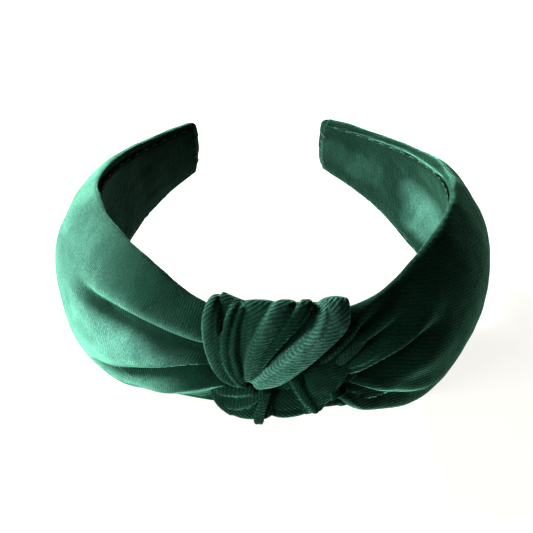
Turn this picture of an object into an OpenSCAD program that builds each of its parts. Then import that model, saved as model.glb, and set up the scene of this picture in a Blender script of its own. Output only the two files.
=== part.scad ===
// Knotted velvet headband: a sprung plastic core in foam and velvet, with an overhand knot on the crown.
// It lies on its lower edge. X runs across the head, Y from the knot to the tips and Z up across the band.

/* [Band] */
// Radius of the band's middle line round the crown
crown_r = 65; // [62:0.2:70]
// Angle that the crown's arc turns on each side of the knot
crown_turn = 117; // [110:1:120]
// Radius of the nearly straight stretch behind the ears
tail_r = 164; // [130:2:240]
// Angle that this stretch turns
tail_turn = 20; // [12:1:22]
// Height of the band's middle above the table
mid_z = 34; // [32:0.5:40]

/* [Core] */
// Thickness of the plastic core
core_t = 2; // [1.6:0.1:2.4]
// Width of the core at the crown
core_crown_w = 26; // [22:1:26]
// Width of the core at the tips
core_tip_w = 12; // [10:0.5:13]
// Angle from the middle of the knot to the line that each arm flexes about
flex_turn = 20.5; // [20:0.1:22]

/* [Cloth] */
// Thickness of the velvet sleeve, pile included
velvet_t = 1.2; // [0.8:0.1:1.4]
// Thickness of the velvet lining
lining_t = 0.9; // [0.6:0.1:1.2]
// Thickness of the sewing thread
thread_d = 0.5; // [0.3:0.1:0.6]
// Distance between slip stitches along the lining
stitch_pitch = 6; // [4:0.5:10]

/* [Knot] */
// Angle from the crown's middle to the left end of the wrap
wrap_left = 16.3; // [14:0.1:16.4]
// Angle from the crown's middle to the right end of the wrap
wrap_right = 7.8; // [6:0.1:12]
// Radius of the rolled edges of the wrap
knot_roll_r = 5.4; // [5:0.1:5.6]
// Radius of the gathered strand that the wrap is tied round
strand_r = 3.2; // [2.6:0.1:3.4]

/* [Hidden] */

velvet = "#1d5b47";
velvet_dark = "#123d30";
plastic = "#e8e6df";
foam = "#efe9d2";
thread = "#0e3327";

rad = 180 / PI;
arc_len = crown_r * crown_turn / rad;
half_len = arc_len + tail_r * tail_turn / rad;
// Y of the crown arc's centre, which puts the origin under the middle of the whole part
centre_y = 0.2;
crown_y = centre_y - crown_r;

// The band's section at equal steps from the crown to a tip: distance of the top edge from the middle
// line, of the bottom edge on the right and on the left arm, outward bulge of the velvet, and how far
// the edges curl inwards. The left arm is gathered higher beside the knot than the right one.
sections = [
    [20.5, -20.0, -15.2, 7.2, 1.5],
    [20.8, -20.6, -15.4, 7.2, 2.2],
    [26.0, -31.0, -21.6, 8.0, 6.6],
    [28.8, -36.5, -31.5, 8.4, 8.5],
    [27.4, -32.5, -36.5, 8.4, 8.5],
    [23.4, -23.6, -27.6, 8.0, 7],
    [18.8, -18.6, -19.5, 6.8, 4],
    [14.0, -13.6, -14.0, 5.2, 2],
    [10.4, -10.4, -10.4, 3.9, 0.5]
];
steps = len(sections) - 1;
TOP = 0;
RIGHT_BOTTOM = 1;
LEFT_BOTTOM = 2;
BULGE = 3;
CURL = 4;
$bottom = RIGHT_BOTTOM;
inner_n = -4.2;

// Where things start and end along the band, measured from the crown
sleeve_start = crown_r * (flex_turn + 1.6) / rad;
sleeve_end = half_len - 4.1;
core_end_gap = 5;
flex_gap = 0.3;
fit_gap = 0.1;
lip_phi = 150;
lining_phi = 55;
foam_phi = 72;
foam_edge_t = 1.5;
strand_turn = 18;
backing_turn = 16.5;
backing_t = 1.5;
rings = 34;
sleeve_points = 22;
lining_points = 12;
fold_points = 12;

function pick(i, column) = sections[min(max(i, 0), steps)][column];

// Catmull-Rom curve through one column of the section table
function section(s, column) =
    let (
        place = min(max(s / half_len, 0), 1) * steps,
        i = min(floor(place), steps - 1),
        t = place - i,
        a = pick(i - 1, column), b = pick(i, column), c = pick(i + 1, column), d = pick(i + 2, column)
    )
    b + 0.5 * t * (c - a + t * (2 * a - 5 * b + 4 * c - d + t * (3 * (b - c) + d - a)));

function heading(s) = s <= arc_len ? s / crown_r * rad : crown_turn + (s - arc_len) / tail_r * rad;

function line_x(s) = s <= arc_len
    ? crown_r * sin(heading(s))
    : crown_r * sin(crown_turn) + tail_r * (sin(heading(s)) - sin(crown_turn));

function line_y(s) = crown_y + (s <= arc_len
    ? crown_r * (1 - cos(heading(s)))
    : crown_r * (1 - cos(crown_turn)) + tail_r * (cos(crown_turn) - cos(heading(s))));

// A point n outside the middle line, s along it, at height z
function at(s, n, z) = [line_x(s) + n * sin(heading(s)), line_y(s) - n * cos(heading(s)), z];

// Height and outward distance of the velvet's surface at angle phi round the section, inset by off
function skin_z(s, phi, off) =
    let (half = sin(phi) >= 0 ? section(s, TOP) : -section(s, $bottom))
    max(mid_z + (half - off) * sin(phi), off);

function skin_n(s, phi, off) =
    let (bulge = section(s, BULGE), middle = (bulge + inner_n) / 2, half_t = (bulge - inner_n) / 2)
    middle - section(s, CURL) * sin(phi) * sin(phi) + (half_t - off) * cos(phi);

function skin(s, phi, off) = at(s, skin_n(s, phi, off), skin_z(s, phi, off));

// Angle i of count from first to last
function spaced(first, last, i, count) = first + (last - first) * i / count;

function strip_side(s, first, last, off, points) =
    [for (i = [0:points]) skin(s, spaced(first, last, i, points), off)];

// A strip that follows the section from angle first to last, between two insets, swept along the arm
module swept_strip(from_s, to_s, first, last, off_a, off_b, points) {
    swept([for (k = [0:rings])
        let (s = spaced(from_s, to_s, k, rings))
        [strip_side(s, first, last, off_a, points), strip_side(s, first, last, off_b, points)]]);
}

// A solid between pairs of paths: one pair for each station, all paths with the same number of points
module swept(pairs) {
    n = len(pairs[0][0]);
    loop = 2 * n;
    last = len(pairs) - 1;
    points = [for (pair = pairs) each concat(pair[0], [for (i = [n - 1:-1:0]) pair[1][i]])];
    walls = [for (k = [0:last - 1], i = [0:loop - 1])
        let (j = (i + 1) % loop)
        each [
            [k * loop + i, k * loop + j, (k + 1) * loop + j],
            [k * loop + i, (k + 1) * loop + j, (k + 1) * loop + i]
        ]];
    start_cap = [for (i = [0:n - 2]) each [
        [i, loop - 1 - i, loop - 2 - i], [i, loop - 2 - i, i + 1]
    ]];
    end_cap = [for (f = start_cap) [for (v = [2:-1:0]) f[v] + last * loop]];
    polyhedron(points, concat(walls, start_cap, end_cap));
}

module on_left() {
    $bottom = LEFT_BOTTOM;
    mirror([1, 0, 0]) children();
}

// ---- core: one moulded strip, parted only where each arm flexes ----

module arc_strip(centre, radius, thickness, from_turn, to_turn, height) {
    translate([centre.x, centre.y, mid_z - height / 2])
        rotate([0, 0, from_turn - 90])
            rotate_extrude(angle = to_turn - from_turn, $fn = 180)
                translate([radius - thickness / 2, 0]) square([thickness, height]);
}

// The core's side view: full width at the crown, narrowing to a round tip
module core_side_view() {
    tip_y = line_y(half_len - core_end_gap) - core_tip_w / 2;
    front_y = crown_y - core_t;
    shoulder_y = centre_y - crown_r / 2;
    rotate([90, 0, 90])
        linear_extrude(2 * crown_r + 20, center = true) {
            translate([tip_y, mid_z]) circle(d = core_tip_w, $fn = 48);
            polygon([
                [front_y, mid_z - core_crown_w / 2], [shoulder_y, mid_z - core_crown_w / 2],
                [tip_y, mid_z - core_tip_w / 2], [tip_y, mid_z + core_tip_w / 2],
                [shoulder_y, mid_z + core_crown_w / 2], [front_y, mid_z + core_crown_w / 2]
            ]);
        }
}

module core_crown() {
    color(plastic)
        arc_strip([0, centre_y], crown_r - core_t / 2, core_t,
            flex_gap - flex_turn, flex_turn - flex_gap, core_crown_w);
}

module core_arm() {
    tail_centre = [
        (crown_r - tail_r) * sin(crown_turn),
        centre_y - (crown_r - tail_r) * cos(crown_turn)
    ];
    color(plastic) intersection() {
        union() {
            arc_strip([0, centre_y], crown_r - core_t / 2, core_t,
                flex_turn + flex_gap, crown_turn, core_crown_w);
            arc_strip(tail_centre, tail_r - core_t / 2, core_t,
                crown_turn, crown_turn + tail_turn, core_crown_w);
        }
        core_side_view();
    }
}

// ---- soft parts of one arm ----

module sleeve() {
    color(velvet) swept_strip(sleeve_start, sleeve_end, -lip_phi, lip_phi, 0, velvet_t, sleeve_points);
}

module lining() {
    color(velvet_dark)
        swept_strip(sleeve_start, sleeve_end, 180 - lining_phi, 180 + lining_phi, -fit_gap,
            -fit_gap - lining_t, lining_points);
}

// Foam between the core's outer face and the velvet
module padding() {
    inset = velvet_t + fit_gap;
    pad_rings = 22;
    pad_points = 10;
    color(foam)
        swept([for (k = [0:pad_rings])
            let (s = spaced(sleeve_start, sleeve_end - 4, k, pad_rings))
            [
                [for (i = [0:pad_points]) skin(s, spaced(-foam_phi, foam_phi, i, pad_points), inset)],
                [for (i = [0:pad_points])
                    let (
                        phi = spaced(-foam_phi, foam_phi, i, pad_points),
                        n = skin_n(s, phi, inset),
                        z = skin_z(s, phi, inset),
                        edge_t = abs(z - mid_z) < core_crown_w / 2 + 2 ? 0.3 : foam_edge_t
                    )
                    at(s, min(0.2, n - edge_t), z)]
            ]]);
}

// The sleeve's end, folded over the core's tip and rounded off
module tip_fold() {
    fold_rings = 6;
    last_turn = 84;
    side_phi = 86;
    fold_l = half_len - sleeve_end - 0.3;
    round_r = 3.4;
    color(velvet_dark)
        swept([for (k = [0:fold_rings])
            let (
                turn = last_turn * k / fold_rings,
                s = sleeve_end + 0.3 + fold_l * sin(turn),
                off = round_r * (1 - cos(turn))
            )
            [
                strip_side(s, -side_phi, side_phi, off, fold_points),
                strip_side(s, 180 + side_phi, 180 - side_phi, off, fold_points)
            ]]);
}

// ---- stitches ----

module stitch(from, to) {
    v = to - from;
    translate(from)
        rotate([0, acos(v.z / norm(v)), atan2(v.y, v.x)])
            cylinder(d = thread_d, h = norm(v), $fn = 16);
}

module lining_stitches() {
    stitch_l = 2.4;
    edge = lining_phi + 4;
    first = sleeve_start + 4;
    count = floor((sleeve_end - 6 - first) / stitch_pitch);
    off = -fit_gap - thread_d / 2 - 0.4;
    color(thread)
        for (k = [0:count], phi = [180 - edge, 180 + edge]) {
            s = first + k * stitch_pitch;
            stitch(skin(s, phi, off), skin(s + stitch_l, phi, off));
        }
}

module tip_stitches() {
    lift = inner_n - lining_t - fit_gap - thread_d;
    color(thread)
        for (z = [-5.4:3.6:5.4])
            stitch(at(half_len - 6.4, lift, mid_z + z), at(half_len - 1.4, lift + 0.9, mid_z + z + 1.2));
}

// ---- knot ----

// A ball of the knot, turned from the middle of the crown, n outside the middle line and z above it
module knot_ball(turn, n, z, r) {
    translate([(crown_r + n) * sin(turn), centre_y - (crown_r + n) * cos(turn), mid_z + z])
        sphere(r, $fn = 20);
}

// A bar bent round the crown between two angles: its children are its section, n across and z up
module crown_bar(from_turn, to_turn) {
    translate([0, centre_y, mid_z])
        rotate([0, 0, from_turn - 90])
            rotate_extrude(angle = to_turn - from_turn, $fn = 120)
                translate([crown_r, 0]) children();
}

module strand(r, turn) {
    crown_bar(-turn, turn) translate([4, -1.5]) circle(r, $fn = 40);
}

module strand_tunnel() {
    strand(strand_r + fit_gap, strand_turn + 4);
}

// Fan of velvet from its rolled top edge down to one gathered point, made larger by grow
module wrap_fan(grow) {
    lobes = 3;
    for (i = [0:lobes - 1])
        hull() {
            for (k = [i, i + 1])
                knot_ball(spaced(-wrap_left, wrap_right, k, lobes), 6, 19.2, knot_roll_r + grow);
            knot_ball(-9.6, 6.2, 1, 4.8 + grow);
        }
}

// Roll of the wrap over the core's top edge, down to the backing
module wrap_roll() {
    crown_bar(-wrap_left, wrap_right)
        hull() {
            translate([4, 20.4]) circle(3.2, $fn = 32);
            translate([-2.2, 19.4]) circle(2.4, $fn = 32);
        }
}

module left_lobe(grow) {
    hull() {
        knot_ball(-17, 5.8, -3.4, 4.4 + grow);
        knot_ball(-10, 6.6, -8.8, 4.4 + grow);
    }
}

// The lobe under the wrap on the right, with the peak of its tuck
module right_lobe(grow) {
    hull() {
        knot_ball(12.5, 6, -2.6, 4.6 + grow);
        knot_ball(0.5, 6.6, -8, 4.8 + grow);
    }
    hull() {
        knot_ball(10, 6.6, -5, 3.6 + grow);
        knot_ball(6.8, 7, -10.2, 2.4 + grow);
    }
}

module knot_wrap() {
    color(velvet) difference() {
        union() {
            wrap_fan(0);
            wrap_roll();
        }
        strand_tunnel();
    }
}

module knot_inner_strand() {
    color(velvet_dark) strand(strand_r, strand_turn);
}

module knot_left_lobe() {
    color(velvet) difference() {
        left_lobe(0);
        wrap_fan(fit_gap);
        strand_tunnel();
    }
}

module knot_right_lobe() {
    color(velvet_dark) difference() {
        right_lobe(0);
        wrap_fan(fit_gap);
        strand_tunnel();
    }
}

// Pleats that gather the right sleeve into the knot
module knot_right_gather() {
    color(velvet) difference() {
        hull()
            for (turn = [12.4, 16.6], z = [4, 12.6])
                knot_ball(turn, 4.8, z, 4);
        right_lobe(fit_gap);
        wrap_fan(fit_gap);
        strand_tunnel();
    }
}

// The knot's loose end, hanging between the two lobes
module knot_tail() {
    color(velvet_dark) difference() {
        hull() {
            knot_ball(-6, 7.5, -10, 2.8);
            knot_ball(-7.8, 7.5, -15, 1.9);
        }
        left_lobe(fit_gap);
        right_lobe(fit_gap);
    }
}

// Velvet strip behind the core that closes the wrap on the head's side
module knot_backing() {
    color(velvet_dark)
        arc_strip([0, centre_y], crown_r - core_t - fit_gap - backing_t / 2, backing_t,
            -backing_turn, backing_turn, core_crown_w + 2);
}

module knot_stitches() {
    r = crown_r - core_t - fit_gap - backing_t - thread_d / 2 - 0.05;
    color(thread)
        for (turn = [-14:4:10])
            stitch(
                [r * sin(turn), centre_y - r * cos(turn), mid_z + 10],
                [r * sin(turn + 2), centre_y - r * cos(turn + 2), mid_z + 13]
            );
}

core_crown();
knot_wrap();
knot_inner_strand();
knot_left_lobe();
knot_right_lobe();
knot_right_gather();
knot_tail();
knot_backing();
knot_stitches();
on_left() core_arm();  // core_left
on_left() padding();  // padding_left
on_left() sleeve();  // sleeve_left
on_left() lining();  // lining_left
on_left() lining_stitches();  // lining_stitches_left
on_left() tip_fold();  // tip_fold_left
on_left() tip_stitches();  // tip_stitches_left
core_arm();  // core_right
padding();  // padding_right
sleeve();  // sleeve_right
lining();  // lining_right
lining_stitches();  // lining_stitches_right
tip_fold();  // tip_fold_right
tip_stitches();  // tip_stitches_right
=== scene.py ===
import math

import bmesh
import bpy
import numpy as np
from mathutils import Matrix, Vector, kdtree


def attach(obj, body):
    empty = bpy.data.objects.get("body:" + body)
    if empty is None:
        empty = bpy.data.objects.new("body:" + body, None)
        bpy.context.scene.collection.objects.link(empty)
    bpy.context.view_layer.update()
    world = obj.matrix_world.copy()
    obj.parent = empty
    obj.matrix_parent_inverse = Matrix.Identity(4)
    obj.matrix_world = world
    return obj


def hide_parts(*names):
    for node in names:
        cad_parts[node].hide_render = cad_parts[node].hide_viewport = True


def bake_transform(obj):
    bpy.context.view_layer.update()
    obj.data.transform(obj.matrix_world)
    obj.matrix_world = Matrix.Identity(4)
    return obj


bl_info = {
    "name": "Knotted Velvet Headband",
    "version": (1, 0, 0),
    "blender": (4, 5, 0),
    "location": "3D View > Sidebar > Headband",
    "description": "Builds a padded velvet headband with a knotted crown round its packed frame",
    "category": "Object",
}

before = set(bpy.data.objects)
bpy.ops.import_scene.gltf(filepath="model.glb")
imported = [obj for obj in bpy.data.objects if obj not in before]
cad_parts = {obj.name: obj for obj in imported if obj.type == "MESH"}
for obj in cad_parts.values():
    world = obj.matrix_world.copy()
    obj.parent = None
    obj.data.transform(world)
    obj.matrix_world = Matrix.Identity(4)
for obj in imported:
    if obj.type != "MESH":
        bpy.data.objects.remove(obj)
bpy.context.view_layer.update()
MM = 0.001

# ---------------------------------------------------------------- the band's geometry, in millimetres

CROWN_R = 65.0
CROWN_TURN = math.radians(117)
TAIL_R = 164.0
TAIL_TURN = math.radians(20)
CENTRE_Y = 0.2
MID_Z = 34.0
INNER_N = -4.2
VELVET_T = 1.2
LINING_T = 0.9
FIT_GAP = 0.1
CORE_HALF_W = 13.0
ARC_LEN = CROWN_R * CROWN_TURN
HALF_LEN = ARC_LEN + TAIL_R * TAIL_TURN
SLEEVE_END = HALF_LEN - 4.1
KNOT_R = 72.0

# Top edge, bottom edge, outward bulge and inward curl of the section, at equal steps from crown to tip
SECTIONS = {
    "right": np.array([
        (20.5, -20.0, 7.2, 1.5), (20.8, -20.6, 7.2, 2.2), (26.0, -31.0, 8.0, 6.6), (28.8, -36.5, 8.4, 8.5),
        (27.4, -32.5, 8.4, 8.5), (23.4, -23.6, 8.0, 7.0), (18.8, -18.6, 6.8, 4.0), (14.0, -13.6, 5.2, 2.0),
        (10.4, -10.4, 3.9, 0.5),
    ]),
    "left": np.array([
        (20.5, -14.4, 7.2, 1.5), (20.8, -14.6, 7.2, 2.2), (26.0, -21.2, 8.0, 6.6), (28.8, -31.5, 8.4, 8.5),
        (27.4, -36.5, 8.4, 8.5), (23.4, -27.6, 8.0, 7.0), (18.8, -19.5, 6.8, 4.0), (14.0, -14.0, 5.2, 2.0),
        (10.4, -10.4, 3.9, 0.5),
    ]),
}
TOP, BOTTOM, BULGE, CURL = range(4)
SIDE_SIGN = {"left": -1, "right": 1}


def smoothstep(low, high, x):
    t = np.clip((np.asarray(x, float) - low) / (high - low), 0, 1)
    return t * t * (3 - 2 * t)


def catmull_rom(points, place):
    """Values of a Catmull-Rom curve through points, at places from 0 to len(points) - 1."""
    points = np.asarray(points, float)
    last = len(points) - 1
    i = np.minimum(np.floor(place).astype(int), last - 1)
    t = place - i
    if points.ndim > 1:
        t = t[..., None]
    a, b, c, d = (points[np.clip(i + k, 0, last)] for k in (-1, 0, 1, 2))
    return b + 0.5 * t * (c - a + t * (2 * a - 5 * b + 4 * c - d + t * (3 * (b - c) + d - a)))


def section(s, column, side):
    table = SECTIONS[side]
    return catmull_rom(table[:, column], np.clip(s / HALF_LEN, 0, 1) * (len(table) - 1))


def heading(s):
    return np.where(s <= ARC_LEN, s / CROWN_R, CROWN_TURN + (s - ARC_LEN) / TAIL_R)


def at(s, n, z, side):
    """The point n outside the band's middle line, s along it, z above the band's middle."""
    h = heading(s)
    end_sin, end_cos = math.sin(CROWN_TURN), math.cos(CROWN_TURN)
    on_arc = s <= ARC_LEN
    x = np.where(on_arc, CROWN_R * np.sin(h), CROWN_R * end_sin + TAIL_R * (np.sin(h) - end_sin))
    y = np.where(on_arc, CROWN_R * (1 - np.cos(h)), CROWN_R * (1 - end_cos) + TAIL_R * (end_cos - np.cos(h)))
    x = x + n * np.sin(h)
    y = y - n * np.cos(h) + CENTRE_Y - CROWN_R
    return np.stack([SIDE_SIGN[side] * x, y, np.broadcast_to(MID_Z + z, x.shape)], -1)


def surface_n(s, phi, off, side, facing=1):
    """How far outside the middle line the section, inset by off, is at phi; facing -1 gives its head's side."""
    bulge = section(s, BULGE, side)
    n = (bulge + INNER_N) / 2 - section(s, CURL, side) * np.sin(phi) ** 2
    return n + facing * ((bulge - INNER_N) / 2 - off) * np.cos(phi)


def skin(s, phi, off, side):
    """The velvet's surface at angle phi round the section, inset by off."""
    half = np.where(np.sin(phi) >= 0, section(s, TOP, side), -section(s, BOTTOM, side))
    z = np.maximum((half - off) * np.sin(phi), off - MID_Z)
    return at(s, surface_n(s, phi, off, side), z, side)


def turn_to_s(turn):
    return CROWN_R * np.radians(turn)


def on_crown(points):
    """Bends points of (distance round the crown, n outside the middle line, z above it) round the crown."""
    x, n, z = points[..., 0], points[..., 1], points[..., 2]
    a = x / KNOT_R
    return np.stack([(CROWN_R + n) * np.sin(a), CENTRE_Y - (CROWN_R + n) * np.cos(a), MID_Z + z], -1)


# ---------------------------------------------------------------- mesh helpers


def mesh_object(name, points, faces, material, rib=None, lift=None):
    """A mesh from points in millimetres, with its rib coordinate, also in millimetres, and its lift: painted
    shade below 0, painted light above 0.
    """
    mesh = bpy.data.meshes.new(name)
    mesh.from_pydata((np.asarray(points) * MM).tolist(), [], faces)
    mesh.validate()
    mesh.materials.append(material)
    bm = bmesh.new()
    bm.from_mesh(mesh)
    bmesh.ops.recalc_face_normals(bm, faces=bm.faces)
    bm.to_mesh(mesh)
    bm.free()
    mesh.shade_smooth()
    # lift holds painted light and painted shade
    for key, values in (("rib", rib), ("lift", lift)):
        if values is not None:
            attribute = mesh.attributes.new(key, "FLOAT", "POINT")
            attribute.data.foreach_set("value", np.asarray(values, np.float32))
    obj = bpy.data.objects.new(name, mesh)
    bpy.context.scene.collection.objects.link(obj)
    return obj


def grid_faces(rows, columns, wrap_columns=False, start=0):
    """Quads of a grid of points, row by row."""
    faces = []
    for r in range(rows - 1):
        for c in range(columns if wrap_columns else columns - 1):
            d = (c + 1) % columns
            faces.append((start + r * columns + c, start + r * columns + d,
                          start + (r + 1) * columns + d, start + (r + 1) * columns + c))
    return faces


def grid_normals(grid):
    """Unit normals of a grid of points."""
    along = np.gradient(grid, axis=0)
    across = np.gradient(grid, axis=1)
    normal = np.cross(along, across)
    return normal / np.maximum(np.linalg.norm(normal, axis=-1, keepdims=True), 1e-9)


def shell(outer, inner):
    """Points and faces of the closed shell between two grids of the same size."""
    rows, columns = outer.shape[:2]
    count = rows * columns
    points = np.concatenate([outer.reshape(-1, 3), inner.reshape(-1, 3)])
    faces = grid_faces(rows, columns)
    faces += [tuple(reversed(f)) for f in grid_faces(rows, columns, start=count)]
    rim = list(range(columns))
    rim += [r * columns + columns - 1 for r in range(1, rows)]
    rim += [(rows - 1) * columns + c for c in range(columns - 2, -1, -1)]
    rim += [r * columns for r in range(rows - 2, 0, -1)]
    for a, b in zip(rim, rim[1:] + rim[:1]):
        faces.append((b, a, a + count, b + count))
    return points, faces


def wobble(grid, size, seed):
    """Smooth noise from -1 to 1 over a grid of points in millimetres, with bumps of about that size."""
    rng = np.random.default_rng(seed)
    total = np.zeros(grid.shape[:-1])
    waves = 14
    for _ in range(waves):
        direction = rng.normal(size=3)
        direction /= np.linalg.norm(direction)
        pitch = size * rng.uniform(0.7, 1.8)
        total += np.sin(grid @ direction * (2 * math.pi / pitch) + rng.uniform(0, 2 * math.pi))
    return total / math.sqrt(waves / 2) / 2


# ---------------------------------------------------------------- settings


class VelvetSettings(bpy.types.PropertyGroup):
    # also the colour of the painted shade where a mesh's lift is below 0
    pile_deep_and_painted_shade: bpy.props.StringProperty(
        name="Pile in shade", description="Colour deep in the pile", default="#020E09")
    pile_face: bpy.props.StringProperty(
        name="Pile face", description="Colour of the pile seen from above", default="#0B261B")
    pile_tips: bpy.props.StringProperty(
        name="Pile tips", description="Tint of the sheen on the pile's tips", default="#92FFD2")
    # the colour of the painted light where a mesh's lift is above 0
    painted_light_colour: bpy.props.StringProperty(
        name="Pile brushed up", description="Colour where the pile is brushed up", default="#2F5449")
    rib_pitch: bpy.props.FloatProperty(
        name="Rib pitch", description="Distance between the knit's ribs", default=1.15 * MM,
        min=0.4 * MM, max=3 * MM, unit="LENGTH", precision=5)
    pleat_depth: bpy.props.FloatProperty(
        name="Pleat depth", description="How deep the pleats beside the knot are", default=1.0,
        min=0.0, max=1.5, subtype="FACTOR")


class TrimSettings(bpy.types.PropertyGroup):
    thread_colour: bpy.props.StringProperty(
        name="Thread", description="Colour of the sewing thread", default="#0A1F18")
    foam_colour: bpy.props.StringProperty(
        name="Foam", description="Colour of the sponge padding", default="#EFE6C8")
    core_colour: bpy.props.StringProperty(
        name="Core", description="Colour of the moulded core", default="#E9E6DC")
    stitch_length: bpy.props.FloatProperty(
        name="Stitch length", description="Length of one slip stitch", default=2.4 * MM,
        min=1 * MM, max=5 * MM, unit="LENGTH", precision=5)


class StageSettings(bpy.types.PropertyGroup):
    floor_colour: bpy.props.StringProperty(
        name="Floor", description="Colour of the floor's own light", default="#FFFDF8")
    key_power: bpy.props.FloatProperty(
        name="Key light", description="Power of the large light at the left", default=85.0,
        min=0.0, unit="POWER")
    side_power: bpy.props.FloatProperty(
        name="Side light", description="Power of the low light at the left", default=23.0,
        min=0.0, unit="POWER")
    fill_power: bpy.props.FloatProperty(
        name="Fill light", description="Power of the light above the camera", default=2.0,
        min=0.0, unit="POWER")


# ---------------------------------------------------------------- materials


def linear(hex_colour):
    """Linear RGBA from an sRGB hex value."""
    channels = [int(hex_colour[i:i + 2], 16) / 255 for i in (1, 3, 5)]
    return tuple(c / 12.92 if c <= 0.04045 else ((c + 0.055) / 1.055) ** 2.4 for c in channels) + (1.0,)


def add_node(material, kind, inputs=None, **settings):
    """Adds a node. inputs maps a socket's name or number to a value or to the socket that feeds it."""
    tree = material.node_tree
    made = tree.nodes.new(kind)
    for key, value in settings.items():
        setattr(made, key, value)
    for key, value in (inputs or {}).items():
        if isinstance(value, bpy.types.NodeSocket):
            tree.links.new(value, made.inputs[key])
        else:
            made.inputs[key].default_value = value
    return made


def start_material(name, **shader_inputs):
    """A material that holds a Principled shader with these inputs, its shader, and the place on the object."""
    material = bpy.data.materials.new(name)
    material.use_nodes = True
    material.node_tree.nodes.clear()
    shader = add_node(material, "ShaderNodeBsdfPrincipled", shader_inputs)
    add_node(material, "ShaderNodeOutputMaterial", {"Surface": shader.outputs[0]})
    return material, shader, add_node(material, "ShaderNodeTexCoord").outputs["Object"]


def link(material, source, target):
    material.node_tree.links.new(source, target)


def velvet(name, rib_strength, crush, rib_pitch, sheen):
    """Knitted polyester velvet, brushed in patches: dark where its pile lies and pale on its edges from its
    sheen, with painted light and painted shade from the mesh's lift.
    """
    look = bpy.context.scene.headband_velvet
    material, shader, place = start_material(name, **{
        "Roughness": 0.9, "IOR": 1.46, "Specular IOR Level": 0.012,
        "Sheen Weight": sheen, "Sheen Roughness": 0.29, "Sheen Tint": linear(look.pile_tips),
    })
    # pile tufts are about 0.3 mm apart; they are drawn 0.6 mm apart so that they show
    pile = add_node(material, "ShaderNodeTexNoise",
                    {"Vector": place, "Scale": 1 / (0.6 * MM), "Detail": 3.0, "Roughness": 0.65})
    # the pile lies in brushed patches a centimetre across
    patches = add_node(material, "ShaderNodeTexNoise",
                       {"Vector": place, "Scale": 1 / (11 * MM), "Detail": 4.0, "Roughness": 0.6,
                        "Distortion": 0.6})
    rib = add_node(material, "ShaderNodeAttribute", attribute_name="rib").outputs["Fac"]
    bend = add_node(material, "ShaderNodeTexNoise",
                    {"Vector": place, "Scale": 1 / (7 * MM), "Detail": 2.0, "Roughness": 0.5})
    swerve = add_node(material, "ShaderNodeMath",
                      {0: bend.outputs["Fac"], 1: 0.8, 2: rib}, operation="MULTIPLY_ADD")
    phase = add_node(material, "ShaderNodeMath",
                     {0: swerve.outputs[0], 1: 2 * math.pi * MM / rib_pitch}, operation="MULTIPLY")
    wave = add_node(material, "ShaderNodeMath", {0: phase.outputs[0]}, operation="SINE")
    ridge = add_node(material, "ShaderNodeMapRange", {"Value": wave.outputs[0], 1: -1.0, 2: 1.0})
    ribbed = add_node(material, "ShaderNodeMath",
                      {0: ridge.outputs[0], 1: rib_strength, 2: 1 - rib_strength}, operation="MULTIPLY_ADD")
    # the mesh's lift gives painted shade, from -1, and painted light, up to 1
    lift = add_node(material, "ShaderNodeAttribute", attribute_name="lift").outputs["Fac"]
    colour = linear(look.pile_deep_and_painted_shade)
    tufts, brushed = pile.outputs["Fac"], patches.outputs["Fac"]
    # each layer's colour, the share that it starts with, and what changes that: (value, low, high, least, most)
    layers = (
        # the face colour gives way to the deep colour where the lift is below 0: painted shade
        (look.pile_face, 1.0,
         [(tufts, 0.3, 0.72, 0.0, 1.0), (brushed, 0.35, 0.68, 1 - crush, 1.0), (lift, -1.0, 0.0, 0.0, 1.0)]),
        # the pale layer is painted light, as strong as the lift above 0
        (look.painted_light_colour, lift, [(tufts, 0.36, 0.64, 0.45, 1.0), (brushed, 0.3, 0.7, 0.65, 1.25)]),
    )
    for layer_colour, share, ranges in layers:
        share = add_node(material, "ShaderNodeMath", {0: share, 1: ribbed.outputs[0]}, operation="MULTIPLY")
        for value, low, high, least, most in ranges:
            scaled = add_node(material, "ShaderNodeMapRange",
                              {"Value": value, 1: low, 2: high, 3: least, 4: most})
            share = add_node(material, "ShaderNodeMath",
                             {0: share.outputs[0], 1: scaled.outputs[0]}, operation="MULTIPLY")
        colour = add_node(material, "ShaderNodeMix",
                          {"Factor": share.outputs[0], 6: colour, 7: linear(layer_colour)},
                          data_type="RGBA").outputs[2]
    link(material, colour, shader.inputs["Base Color"])
    height = add_node(material, "ShaderNodeMath",
                      {0: ridge.outputs[0], 1: rib_strength * 1.2, 2: tufts},
                      operation="MULTIPLY_ADD")
    # the pile leans this way and that over a few millimetres
    crushed = add_node(material, "ShaderNodeTexNoise",
                       {"Vector": place, "Scale": 1 / (5 * MM), "Detail": 5.0, "Roughness": 0.62,
                        "Distortion": 0.4})
    lean = add_node(material, "ShaderNodeBump",
                    {"Height": crushed.outputs["Fac"], "Strength": 0.35, "Distance": 0.8 * MM})
    bump = add_node(material, "ShaderNodeBump",
                    {"Height": height.outputs[0], "Strength": 0.7, "Distance": 0.35 * MM,
                     "Normal": lean.outputs[0]})
    link(material, bump.outputs[0], shader.inputs["Normal"])
    return material


def polyurethane_foam():
    """Open-cell polyurethane sponge, cut: matt cream, with painted shade in its small pores."""
    look = bpy.context.scene.headband_trim
    material, shader, place = start_material("foam_polyurethane", **{"Roughness": 0.95, "IOR": 1.5})
    # cells of about 0.8 mm
    cells = add_node(material, "ShaderNodeTexVoronoi", {"Vector": place, "Scale": 1 / (0.8 * MM)})
    pores = add_node(material, "ShaderNodeMapRange", {"Value": cells.outputs["Distance"], 1: 0.1, 2: 0.5})
    # painted shade: the colour darkens into each pore's pit
    colour = add_node(material, "ShaderNodeMix",
                      {"Factor": pores.outputs[0], 6: linear("#B9AB83"), 7: linear(look.foam_colour)},
                      data_type="RGBA")
    link(material, colour.outputs[2], shader.inputs["Base Color"])
    bump = add_node(material, "ShaderNodeBump",
                    {"Height": pores.outputs[0], "Strength": 0.8, "Distance": 0.3 * MM})
    link(material, bump.outputs[0], shader.inputs["Normal"])
    return material


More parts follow.
